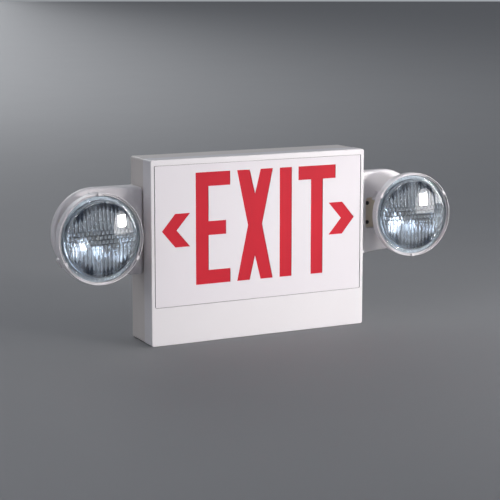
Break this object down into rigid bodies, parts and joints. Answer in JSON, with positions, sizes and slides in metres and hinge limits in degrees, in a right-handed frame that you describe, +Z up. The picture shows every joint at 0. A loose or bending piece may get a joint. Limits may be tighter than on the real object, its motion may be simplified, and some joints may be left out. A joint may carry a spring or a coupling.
{
  "type": "emergency exit light",
  "caption": "Wall-mounted emergency exit sign box with a lit stencil legend and chevrons, and a swivelling round lamp head on an arm at each side.",
  "frame": {"origin": "centre of the wire entry hole at the flat back, which is also the centre of the wall-screw pattern", "axes": "+X to the sign's right as seen from the front, +Y into the wall, +Z up; the sign faces -Y"},
  "size_m": [0.5956, 0.0928, 0.251],
  "materials": {
    "housing_white": "smooth satin moulding",
    "panel_white": "smooth satin moulding",
    "legend_red": "smooth, translucent",
    "inner_white": "glossy white",
    "led_board": "solder mask",
    "led_chip": "phosphor",
    "battery_case": "fine texture",
    "plated_steel": "zinc plated",
    "screw_steel": "zinc plated",
    "circuit_green": "solder mask",
    "core_steel": "stacked sheet",
    "coil_yellow": "taped winding",
    "capacitor_sleeve": "shrink sleeve",
    "relay_case": "moulded",
    "heat_sink_metal": "extruded",
    "terminal_green": "moulded",
    "switch_black": "moulded",
    "button_red": "smooth",
    "pilot_lens": "translucent",
    "grommet_rubber": "soft",
    "seal_rubber": "moulded",
    "bracket_beige": "moulded",
    "reflector_mirror": "vacuum metallised",
    "lens_glass": "moulded flutes",
    "bulb_glass": "clear",
    "socket_ceramic": "unglazed"
  },
  "bodies": {
    "sign": {"back_housing": "housing_white", "battery": "battery_case", "battery_clamp": "plated_steel", "battery_terminals": "plated_steel", "board_screws": "screw_steel", "button_bezel": "switch_black", "capacitors": "capacitor_sleeve", "charger_board": "circuit_green", "clamp_screw": "screw_steel", "closing_screws": "screw_steel", "exit_panel": "panel_white", "front_cover": "housing_white", "heat_sink": "heat_sink_metal", "led_board_bottom": "led_board", "led_board_top": "led_board", "led_chips_bottom": "led_chip", "led_chips_top": "led_chip", "left_arm": "housing_white", "left_arm_back": "housing_white", "left_arm_grommet": "grommet_rubber", "left_arm_screws": "screw_steel", "left_base_screws": "screw_steel", "left_pan_pins": "screw_steel", "left_swivel_base": "bracket_beige", "legend_diffuser": "legend_red", "light_box": "inner_white", "pilot_light": "pilot_lens", "relay": "relay_case", "right_arm": "housing_white", "right_arm_back": "housing_white", "right_arm_grommet": "grommet_rubber", "right_arm_screws": "screw_steel", "right_base_screws": "screw_steel", "right_pan_pins": "screw_steel", "right_swivel_base": "bracket_beige", "terminal_block": "terminal_green", "terminal_screws": "screw_steel", "test_switch": "switch_black", "transformer_coil": "coil_yellow", "transformer_core": "core_steel"},
    "test_button": {"test_button": "button_red"},
    "left_knuckle": {"left_knuckle": "housing_white"},
    "left_head": {"left_tilt_pin": "screw_steel", "left_lamp_cup": "housing_white", "left_lamp_ring": "housing_white", "left_reflector": "reflector_mirror", "left_lens": "lens_glass", "left_lens_seal": "seal_rubber", "left_bulb": "bulb_glass", "left_lamp_socket": "socket_ceramic"},
    "right_knuckle": {"right_knuckle": "housing_white"},
    "right_head": {"right_tilt_pin": "screw_steel", "right_lamp_cup": "housing_white", "right_lamp_ring": "housing_white", "right_reflector": "reflector_mirror", "right_lens": "lens_glass", "right_lens_seal": "seal_rubber", "right_bulb": "bulb_glass", "right_lamp_socket": "socket_ceramic"}
  },
  "joints": [
    {"name": "left_pan", "type": "hinge", "parent": "sign", "child": "left_knuckle", "pos_m": [-0.2406, -0.036, 0.0263], "axis": [0, 0, 1], "range_deg": [-24, 5]},
    {"name": "left_tilt", "type": "hinge", "parent": "left_knuckle", "child": "left_head", "pos_m": [-0.2406, -0.036, 0.0263], "axis": [0.998, 0.0628, 0], "range_deg": [-16, 20]},
    {"name": "right_pan", "type": "hinge", "parent": "sign", "child": "right_knuckle", "pos_m": [0.2406, -0.036, 0.0263], "axis": [0, 0, 1], "range_deg": [-5, 24]},
    {"name": "right_tilt", "type": "hinge", "parent": "right_knuckle", "child": "right_head", "pos_m": [0.2406, -0.036, 0.0263], "axis": [0.998, -0.0628, 0], "range_deg": [-16, 20]},
    {"name": "test_press", "type": "slide", "parent": "sign", "child": "test_button", "axis": [-1, 0, 0], "range_m": [0, 0.0025], "stiffness_N_per_m": 400, "springref_m": -0.0015}
  ]
}
